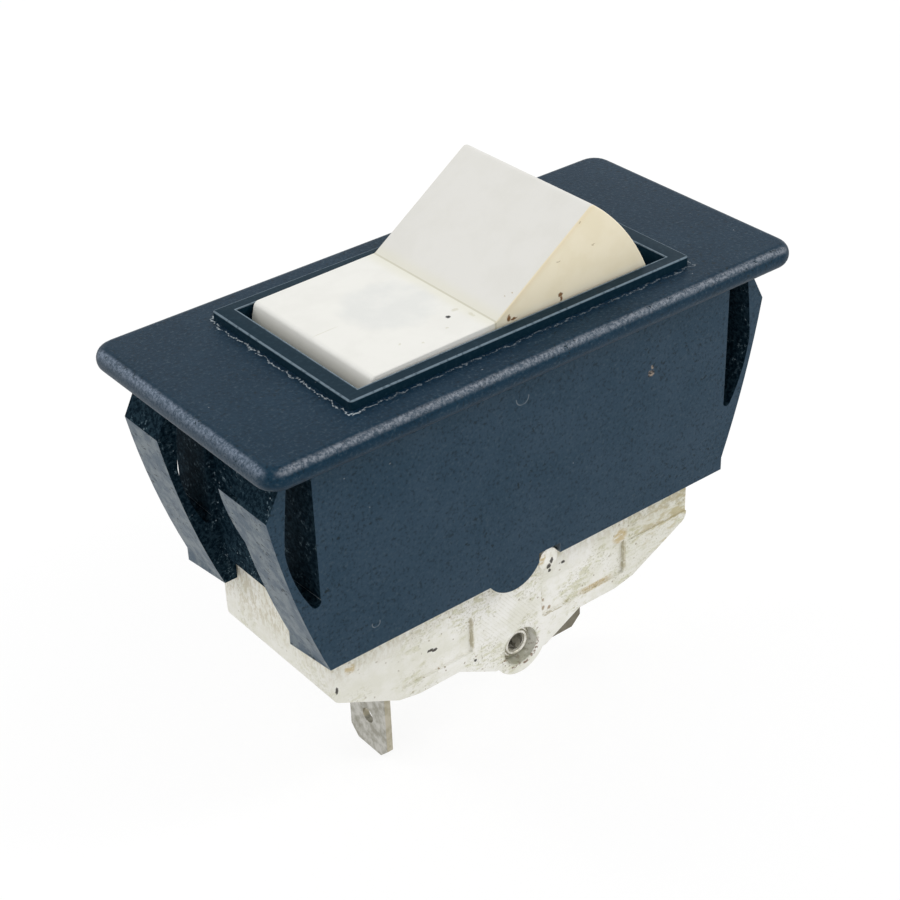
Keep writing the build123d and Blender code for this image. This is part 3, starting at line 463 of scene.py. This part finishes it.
# Painted highlight: pale lines along the outer and inner top edges of the rim.
outer_line = step(tree, past, -0.22, -0.12)
inner_line = both(tree, step(tree, far_x, window_x + 0.16, window_x + 0.10),
                  step(tree, far_y, window_y + 0.16, window_y + 0.10))
wear_and_edge_highlight = both(tree, either(tree, outer_line, inner_line), top, step(tree, speckle, 0.30, 0.5, 0.4, 1))
tone = tint(tree, partly(tree, wear_and_edge_highlight, 0.85), tone, (0.20, 0.26, 0.31))
dust = specks(tree, place, 2.5 * mm, 0.3, 0.06 * mm)
tone = tint(tree, partly(tree, dust, 0.5), tone, dusty_tone)
tree.links.new(tone, shader.inputs["Base Color"])
relief(tree, shader, (speckle, 0.01 * mm, 0.4))
dressed("rocker_surround", "breaker", surround_black, 0.08 * mm)

# ----------------------------------------------------------------------- rocker
# V-shaped rocker, moulded in warm white urea with satin faces and soft edges. The
# flanks have yellowed, a finger mark lies on the pressed end and grime in the valley.
rocker_white, tree, shader, place = start_finish("rocker_white", (0.83, 0.82, 0.79), 0.42, gloss=0.4)
x, y, z = along(tree, place)
cloud = grain(tree, place, 4 * mm, 4, 0.6)
valley_x = -2.62
raised = step(tree, x, valley_x - 0.08, valley_x + 0.12)
tone = tint(tree, step(tree, cloud, 0.4, 0.65), (0.85, 0.845, 0.80), (0.825, 0.82, 0.775))
# Painted shade: the raised face of the V takes a darker copy of the white.
raised_face_shade = tint(tree, step(tree, cloud, 0.4, 0.65), (0.775, 0.765, 0.725), (0.755, 0.745, 0.70))
tone = tint(tree, raised, tone, raised_face_shade)

# Flanks of the raised end: cream, a little browner up the sloping edge.
flank_y, slope_rise, slope_foot = 9.12, 0.698, 5.6
flank = both(tree, step(tree, maths(tree, "ABSOLUTE", y), flank_y - 0.04, flank_y + 0.04),
             step(tree, x, -3.0, -2.4))
cream = tint(tree, step(tree, grain(tree, place, 2.5 * mm, 3), 0.4, 0.65),
             (0.90, 0.82, 0.62), (0.87, 0.785, 0.575))
below_slope = maths(tree, "SUBTRACT", maths(tree, "MULTIPLY", x, slope_rise),
                    maths(tree, "SUBTRACT", z, slope_foot))
cream = tint(tree, step(tree, below_slope, 1.1, 0.1, 0, 0.45), cream, (0.80, 0.68, 0.45))
cream = tint(tree, step(tree, z, 4.3, 3.4, 0, 0.4), cream, (0.76, 0.72, 0.60))
tone = tint(tree, flank, tone, cream)

# Valley: a thin olive line with a yellow shade beside it.
low = step(tree, z, 5.0, 4.1)
shade = partly(tree, near(tree, x, valley_x, 1.8, 0.2), 0.45)
tone = tint(tree, both(tree, shade, low), tone, (0.77, 0.75, 0.60))
crease = partly(tree, near(tree, x, valley_x, 0.16, 0.05), 0.6)
tone = tint(tree, both(tree, crease, low), tone, (0.50, 0.48, 0.36))

# Pressed end: an oval grey finger mark, a hair line, specks and a soiled edge.
uneven = ragged(tree, place, 1.5 * mm, 1.6 * mm)
finger = both(tree, spot(tree, uneven, (-7.9, 0, 3.8), (5.4, 5.4, 4), 0.35),
              step(tree, cloud, 0.3, 0.6, 0.5, 1))
tone = tint(tree, partly(tree, finger, 0.45), tone, (0.70, 0.72, 0.71))
end_face = both(tree, step(tree, x, -16.4, -17.4), step(tree, z, 3.9, 2.6))
tone = tint(tree, partly(tree, end_face, 0.6), tone, (0.66, 0.63, 0.50))
fine = ragged(tree, place, 0.3 * mm, 0.35 * mm)
line = both(tree, step(tree, maths(tree, "ABSOLUTE", y), 0.06, 0.03), step(tree, x, -13.2, -14.4),
            step(tree, x, -16.6, -15.8), step(tree, z, 2.5, 3))
faint = spots(tree, fine,
              ((-3.9, -4.9, 3.9), (0.5, 0.25, 0.3)),
              ((-11.4, -6.4, 3.8), 0.2),
              ((-6.5, -7.0, 3.8), 0.2),
              ((-9.7, -7.6, 3.8), 0.16),
              ((-3.3, -6.6, 3.9), (0.25, 0.6, 0.3)))
tone = tint(tree, partly(tree, either(tree, line, faint), 0.35), tone, (0.50, 0.47, 0.30))
grime = spots(tree, fine,
              ((-1.1, -9.2, 3.75), (0.28, 0.3, 0.42)),
              ((-0.5, -9.2, 3.5), (0.5, 0.3, 0.16)),
              ((5.15, -9.2, 3.95), (0.38, 0.3, 0.30)),
              ((5.25, -9.2, 3.5), (0.2, 0.3, 0.35)))
tone = tint(tree, grime, tone, (0.22, 0.11, 0.04))
dots = spots(tree, fine,
             ((0.0, -8.4, 5.64), 0.14),
             ((7.5, -9.2, 10.5), 0.14),
             ((4.9, -9.2, 7.4), (0.30, 0.2, 0.10)),
             ((9.2, -9.2, 7.7), (0.3, 0.2, 0.09)),
             ((-0.5, -8.0, 5.3), 0.11))
tone = tint(tree, partly(tree, dots, 0.6), tone, (0.40, 0.30, 0.15))
black_speck = spot(tree, fine, (-5.2, -5.5, 3.85), (0.30, 0.28, 0.3))
tone = tint(tree, black_speck, tone, (0.02, 0.02, 0.02))
tree.links.new(tone, shader.inputs["Base Color"])
tree.links.new(step(tree, cloud, 0.3, 0.7, 0.36, 0.50), shader.inputs["Roughness"])
relief(tree, shader, (grain(tree, place, 0.6 * mm), 0.01 * mm, 0.3), (cloud, 0.03 * mm, 0.25))
dressed("rocker", "rocker", rocker_white, 0.35 * mm, 3)

# ---------------------------------------------------------------------- housing
# Two half shells of ivory phenolic, parted on the middle plane and riveted. Years
# of handling have left yellow stains and brown grime; painted shade lines the panel edges.
housing_ivory, tree, shader, place = start_finish("housing_ivory", (0.78, 0.775, 0.71), 0.5, gloss=0.4)
x, y, z = along(tree, place)
cloud = grain(tree, place, 2.5 * mm, 4, 0.6)
patch = grain(tree, stretched(tree, place, (0.5, 1, 1.4), (0, 0.5, 0)), 0.7 * mm, 3, 0.65)
grit = grain(tree, place, 0.25 * mm, 3, 0.7)
tone = tint(tree, step(tree, cloud, 0.40, 0.66), (0.91, 0.90, 0.85), (0.82, 0.81, 0.72))

# Dirt gathers in clouds, most of all towards the load end.
gathered = step(tree, grain(tree, place, 4 * mm, 3, 0.65), 0.46, 0.58, 0.12, 1)
gathered = maths(tree, "ADD", gathered, step(tree, x, 9, 19, 0, 0.45))
tone = tint(tree, both(tree, gathered, step(tree, patch, 0.48, 0.64, 0, 0.7)), tone, (0.61, 0.60, 0.41))
tone = tint(tree, both(tree, gathered, step(tree, grit, 0.52, 0.64, 0, 0.62)), tone, (0.44, 0.42, 0.30))
uneven = ragged(tree, place, 0.5 * mm, 0.5 * mm)
ragged_x, ragged_z = along(tree, uneven)[::2]

# Grime where the body leaves the collar, heavier towards both ends.
towards_ends = step(tree, maths(tree, "ABSOLUTE", x), 9, 19, 0.3, 1)
soil = grain(tree, stretched(tree, place, (1, 1, 0.5)), 0.45 * mm, 4, 0.7)
collar_soil = both(tree, step(tree, ragged_z, -28.6, -25.0), towards_ends, step(tree, soil, 0.44, 0.60))
tone = tint(tree, partly(tree, collar_soil, 0.8), tone, (0.44, 0.36, 0.20))
corner = both(tree, step(tree, ragged_x, 15.0, 18.5), step(tree, cloud, 0.40, 0.55),
              step(tree, patch, 0.42, 0.6))
tone = tint(tree, partly(tree, corner, 0.65), tone, (0.52, 0.42, 0.22))


def shade_and_dirt_line(across, at, width, length, low, high):
    """A thin ragged line of painted shade and dirt at one value across it, from low to high along it."""
    return both(tree, near(tree, across, at, width, 0.4 * width),
                step(tree, length, low, low + 0.5), step(tree, length, high, high - 0.5))


# Painted shade with dirt drawn along the edges of the panels, a yellow band under the load panel.
ledges = either(tree,
                shade_and_dirt_line(ragged_x, -6.2, 0.18, ragged_z, -32.2, -28.2),
                shade_and_dirt_line(ragged_x, 14.3, 0.26, ragged_z, -32.4, -28.2),
                shade_and_dirt_line(ragged_z, -32.6, 0.12, ragged_x, 2.8, 7.0),
                shade_and_dirt_line(ragged_x, 2.9, 0.12, ragged_z, -32.2, -28.6))
tone = tint(tree, both(tree, ledges, step(tree, patch, 0.30, 0.5, 0.2, 0.7)), tone, (0.44, 0.39, 0.25))
band = both(tree, near(tree, z, -32.35, 0.34, 0.10), step(tree, x, 7.6, 9.6), step(tree, x, 13.2, 11.6),
            step(tree, grit, 0.36, 0.60, 0.25, 0.85))
tone = tint(tree, band, tone, (0.54, 0.42, 0.20))

# Fine flecks scattered over both shells, and the larger marks on the front one.
fine = ragged(tree, place, 0.25 * mm, 0.3 * mm)
flecks = both(tree, specks(tree, fine, 0.8 * mm, 0.5, 0.15 * mm),
              step(tree, grain(tree, place, 6 * mm, 2), 0.40, 0.52))
tone = tint(tree, partly(tree, flecks, 0.75), tone, (0.26, 0.19, 0.11))
pepper = both(tree, specks(tree, fine, 0.5 * mm, 0.35, 0.08 * mm), gathered)
tone = tint(tree, partly(tree, pepper, 0.6), tone, (0.30, 0.26, 0.18))
# Painted shade darkens the shells towards the left end, and they also darken towards the load end.
tone = tint(tree, step(tree, x, -7, -17, 0, 0.45), tone, (0.74, 0.73, 0.64))
tone = tint(tree, step(tree, x, 9, 18, 0, 0.30), tone, (0.50, 0.49, 0.34))
black_marks = spots(tree, fine,
                    ((-11.25, -8.7, -29.75), (0.42, 0.4, 0.2)),
                    ((-10.75, -8.7, -29.95), (0.42, 0.4, 0.2)),
                    ((-22.7, -9.0, -28.35), (0.2, 0.4, 0.5)),
                    ((1.75, -11.3, -24.5), (0.3, 0.6, 0.6)),
                    ((2.1, -11.3, -23.8), (0.25, 0.6, 0.4)),
                    ((3.9, -9, -27.2), (0.2, 0.6, 0.25)),
                    ((5.7, -9, -27.0), (0.3, 0.6, 0.2)),
                    ((-6.0, -9, -33.6), (0.22, 0.4, 0.2)), blur=0.3)
tone = tint(tree, partly(tree, black_marks, 0.95), tone, (0.025, 0.02, 0.015))
brown_marks = spots(tree, fine,
                    ((4.1, -8.8, -32.2), (0.35, 0.4, 0.3)),
                    ((3.3, -8.8, -31.9), (0.3, 0.4, 0.35)),
                    ((3.3, -8.8, -30.9), 0.25),
                    ((0.5, -11.3, -22.6), (0.35, 0.8, 0.6)),
                    ((-10.4, -8.8, -32.5), 0.2))
tone = tint(tree, partly(tree, brown_marks, 0.8), tone, (0.28, 0.17, 0.07))
tan_stains = spots(tree, uneven,
                   ((0.8, -11.3, -23.1), (0.7, 1.5, 0.8)),
                   ((13.6, -8.9, -27.6), (1.3, 0.6, 1.2)),
                   ((-21.1, -9.0, -26.6), (0.8, 0.5, 0.7)))
tone = tint(tree, both(tree, tan_stains, step(tree, patch, 0.4, 0.55, 0.1, 0.8)), tone, (0.55, 0.42, 0.19))

# A cutter has left slanting lines round the boss.
slant = maths(tree, "ADD", x, maths(tree, "MULTIPLY", z, 0.8))
waves = maths(tree, "SINE", maths(tree, "MULTIPLY", slant, 14))
lines = both(tree, step(tree, waves, 0.5, 0.95), spot(tree, uneven, (-1.5, -9, -31), (5, 3, 5), 0.4),
             step(tree, patch, 0.35, 0.6))
tone = tint(tree, partly(tree, lines, 0.35), tone, (0.58, 0.56, 0.46))

# The counterbores of the eyelet hold grey-green grime, most in their lower left half,
# and flecks of rust round their lower edge.
eyelet_low, eyelet_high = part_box("centre_rivet")
eyelet_x, eyelet_z = (0.5 * (eyelet_low[i] + eyelet_high[i]) / mm for i in (0, 2))
counterbore = 2.4
out_from_eyelet = from_axis(tree, x, z, (eyelet_x, eyelet_z))
across_eyelet = maths(tree, "SUBTRACT", maths(tree, "ADD", x, z), eyelet_x + eyelet_z)
below_left = step(tree, across_eyelet, 1.5, -1.2, 0.35, 1)
bore = both(tree, step(tree, out_from_eyelet, counterbore + 0.1, counterbore - 0.3), below_left,
            step(tree, patch, 0.35, 0.55, 0.4, 1))
tone = tint(tree, partly(tree, bore, 0.75), tone, (0.36, 0.36, 0.26))
rust = both(tree, near(tree, out_from_eyelet, counterbore, 0.35, 0.15),
            step(tree, z, eyelet_z + 0.4, eyelet_z - 0.8),
            step(tree, grain(tree, place, 0.5 * mm, 3, 0.7), 0.52, 0.58))
tone = tint(tree, partly(tree, rust, 0.9), tone, (0.16, 0.09, 0.04))
tree.links.new(tone, shader.inputs["Base Color"])
tree.links.new(step(tree, cloud, 0.3, 0.7, 0.42, 0.62), shader.inputs["Roughness"])
relief(tree, shader, (patch, 0.05 * mm, 0.5), (grit, 0.03 * mm, 0.6), (flecks, 0.05 * mm, -0.6),
       (lines, 0.02 * mm, -0.4))
for shell in ("housing_front", "housing_rear"):
    dressed(shell, "breaker", housing_ivory, 0.12 * mm)


# ----------------------------------------------------------------------- rivets
# Tubular eyelet of nickel-plated brass with rolled heads, in counterbores, and two
# smaller ones under the flange. The plating has dulled.
def finish(node, material):
    """Gives a CAD node its finish."""
    nodes[node].data.materials.clear()
    nodes[node].data.materials.append(material)


def worn_metal(name, clean, dull, roughness, size):
    """A metal clouded from a clean colour to a dull one, with fine scratches."""
    material, tree, shader, place = start_finish(name, clean, roughness, metal=1.0)
    cloud = grain(tree, place, size, 4, 0.6)
    tone = tint(tree, step(tree, cloud, 0.38, 0.64), clean, dull)
    tree.links.new(tone, shader.inputs["Base Color"])
    dulled = step(tree, cloud, 0.3, 0.7, roughness - 0.08, roughness + 0.12)
    tree.links.new(dulled, shader.inputs["Roughness"])
    relief(tree, shader, (grain(tree, place, 0.2 * size, 3), 0.05 * size, 0.3))
    return material


nickel = worn_metal("nickel_eyelet", (0.72, 0.70, 0.64), (0.46, 0.44, 0.36), 0.26, 0.8 * mm)

# A dull film lies in patches on the wall of the eyelet's bore.
bore_radius = 1.0
tree = nickel.node_tree
place = put(tree, "TexCoord", {}, out=3)
x, y, z = along(tree, place)
in_bore = step(tree, from_axis(tree, x, z, (eyelet_x, eyelet_z)), bore_radius + 0.12, bore_radius + 0.04)
film = both(tree, in_bore, step(tree, grain(tree, place, 0.8 * mm, 3, 0.7), 0.44, 0.56, 0.12, 0.8))
tree.links.new(maths(tree, "SUBTRACT", 1.0, film), tree.nodes["Principled BSDF"].inputs["Metallic"])
dressed("centre_rivet", "breaker", nickel, 0.08 * mm)

# Both ends of the eyelet are rolled over into a round lip.
roll_radius, roll_round = 1.28 * mm, 0.24 * mm
for name, face_y in (("eyelet_roll_front", eyelet_low[1]), ("eyelet_roll_rear", eyelet_high[1])):
    middle = Vector((eyelet_x * mm, face_y, eyelet_z * mm))
    bm = bmesh.new()
    bmesh.ops.create_circle(bm, segments=12, radius=roll_round)
    bmesh.ops.translate(bm, verts=bm.verts, vec=middle + Vector((roll_radius, 0, 0)))
    bmesh.ops.spin(bm, geom=bm.verts[:] + bm.edges[:], cent=middle, axis=(0, 1, 0), angle=2 * math.pi,
                   steps=40, use_merge=True)
    bmesh.ops.remove_doubles(bm, verts=bm.verts, dist=0.001 * mm)
    bmesh.ops.recalc_face_normals(bm, faces=bm.faces)
    mesh = bpy.data.meshes.new(name)
    bm.to_mesh(mesh)
    bm.free()
    for face in mesh.polygons:
        face.use_smooth = True
    mesh.materials.append(nickel)
    roll = bpy.data.objects.new(name, mesh)
    scene.collection.objects.link(roll)
    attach(roll, "breaker")
finish("upper_rivet_left", nickel)
finish("upper_rivet_right", nickel)

# -------------------------------------------------------------------- terminals
# Stamped quick-connect blades of tinned brass, dulled and mottled with age. The
# sheared edges show a little of the yellow brass, and heat has darkened the load blade.
tin, tree, shader, place = start_finish("tinned_blade", (0.42, 0.41, 0.37), 0.4, metal=1.0)
cloud = grain(tree, place, 1.2 * mm, 4, 0.65)
scratch = grain(tree, stretched(tree, place, (1, 1, 0.15)), 0.15 * mm, 2)
tone = tint(tree, step(tree, cloud, 0.36, 0.64), (0.50, 0.49, 0.45), (0.33, 0.32, 0.27))
tone = tint(tree, step(tree, scratch, 0.55, 0.7, 0, 0.3), tone, (0.62, 0.61, 0.56))
sheared = maths(tree, "ABSOLUTE", facing(tree)[1])
tone = tint(tree, step(tree, sheared, 0.6, 0.9, 0, 0.6), tone, (0.47, 0.42, 0.29))
smoked = step(tree, put(tree, "SeparateXYZ", {0: place}), 6 * mm, 8 * mm, 0, 0.75)
tone = tint(tree, smoked, tone, (0.12, 0.11, 0.085))
tree.links.new(tone, shader.inputs["Base Color"])
tree.links.new(step(tree, cloud, 0.3, 0.7, 0.34, 0.55), shader.inputs["Roughness"])
relief(tree, shader, (scratch, 0.01 * mm, 0.4), (cloud, 0.03 * mm, 0.4))
for blade in ("line_terminal", "load_terminal"):
    dressed(blade, "breaker", tin, 0.08 * mm)

# --------------------------------------------------------------------- contacts
# Silver buttons, one on the leg of the line blade and one riveted to the contact
# arm. Switching has greyed and pitted their crowns.
silver = worn_metal("silver_contact", (0.82, 0.80, 0.76), (0.40, 0.37, 0.34), 0.35, 0.6 * mm)
finish("fixed_contact", silver)
finish("moving_contact", silver)

# ------------------------------------------------------------------ contact arm
# Arm stamped from hard brass strip, swinging on a steel pin in the shells. The
# rocker and the trip lever turn on ground steel pins too.
brass = worn_metal("brass_arm", (0.70, 0.52, 0.24), (0.50, 0.36, 0.17), 0.36, 1.5 * mm)
finish("contact_arm", brass)
steel = worn_metal("steel_pin", (0.56, 0.56, 0.55), (0.42, 0.41, 0.39), 0.30, 0.7 * mm)
for pin in ("rocker_pin", "arm_pin", "trip_pin"):
    finish(pin, steel)

# --------------------------------------------------------------------- push rod
# Rod of brown cotton-filled phenolic between the rocker's nose and the arm, with
# the pale threads of the filler showing in the surface. The trip lever is the same.
rod_brown, tree, shader, place = start_finish("rod_brown", (0.20, 0.10, 0.045), 0.5, gloss=0.4)
threads = grain(tree, stretched(tree, place, (1, 1, 0.2)), 0.3 * mm, 3, 0.6)
tone = tint(tree, step(tree, threads, 0.4, 0.7), (0.16, 0.075, 0.03), (0.30, 0.17, 0.08))
tree.links.new(tone, shader.inputs["Base Color"])
relief(tree, shader, (threads, 0.02 * mm, 0.5))
finish("push_rod", rod_brown)
finish("trip_lever", rod_brown)

# ---------------------------------------------------------------------- springs
# Music-wire coil under the contact arm and a leaf that returns the trip lever, both
# blued by stress relief.
spring_steel = worn_metal("spring_steel", (0.40, 0.41, 0.44), (0.24, 0.22, 0.22), 0.32, 0.5 * mm)
finish("kick_spring", spring_steel)
finish("trip_spring", spring_steel)

# ---------------------------------------------------------------------- bimetal
# Strip rolled from two alloys, riveted to the foot of the load blade and set by a
# brass screw. Its high-expansion side is the browner one.
bimetal, tree, shader, place = start_finish("bimetal_metal", (0.48, 0.45, 0.41), 0.38, metal=1.0)
rolled = grain(tree, stretched(tree, place, (0.08, 1, 1)), 0.25 * mm, 3)
strip_low, strip_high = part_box("bimetal_strip")
strip_middle = 0.5 * (strip_low[2] + strip_high[2])
height = put(tree, "SeparateXYZ", {0: place}, out=2)
layer = step(tree, height, strip_middle - 0.05 * mm, strip_middle + 0.05 * mm)
tone = tint(tree, layer, (0.52, 0.51, 0.49), (0.46, 0.38, 0.29))
tone = tint(tree, step(tree, rolled, 0.5, 0.7, 0, 0.5), tone, (0.62, 0.59, 0.54))
tree.links.new(tone, shader.inputs["Base Color"])
relief(tree, shader, (rolled, 0.01 * mm, 0.4))
finish("bimetal_strip", bimetal)
finish("bimetal_rivet", brass)
screw_brass = worn_metal("brass_screw", (0.72, 0.56, 0.28), (0.52, 0.40, 0.20), 0.32, 0.8 * mm)
finish("calibration_screw", screw_brass)

# ------------------------------------------------------------------------ braid
# Flexible braid of fine copper wire from the bimetal up to the contact arm. Its
# strands cross in a close diagonal weave.
copper, tree, shader, place = start_finish("copper_braid", (0.62, 0.30, 0.16), 0.38, metal=1.0)
strands = [put(tree, "TexWave", {"Vector": stretched(tree, place, (1, 1, 1), turn), "Scale": 700.0})
           for turn in ((0.6, 0.6, 0.8), (-0.6, 0.6, -0.8))]
weave = maths(tree, "MAXIMUM", *strands)
tone = tint(tree, step(tree, weave, 0.3, 0.8), (0.22, 0.09, 0.045), (0.72, 0.37, 0.21))
tree.links.new(tone, shader.inputs["Base Color"])
relief(tree, shader, (weave, 0.05 * mm, 0.8))
finish("braid", copper)

# ---------------------------------------------------------------------- barrier
# Arc barrier punched from grey vulcanised fibre, matt and faintly fibrous, sooted
# on the side of the contacts.
fibre_grey, tree, shader, place = start_finish("barrier_grey", (0.26, 0.25, 0.23), 0.8, gloss=0.3)
fibres = grain(tree, stretched(tree, place, (1, 1, 0.12)), 0.2 * mm, 4, 0.65)
tone = tint(tree, step(tree, fibres, 0.35, 0.7), (0.20, 0.19, 0.175), (0.33, 0.32, 0.295))
soot = step(tree, grain(tree, place, 2 * mm, 3), 0.5, 0.7, 0, 0.6)
tone = tint(tree, soot, tone, (0.08, 0.075, 0.07))
tree.links.new(tone, shader.inputs["Base Color"])
relief(tree, shader, (fibres, 0.03 * mm, 0.5))
finish("arc_barrier", fibre_grey)
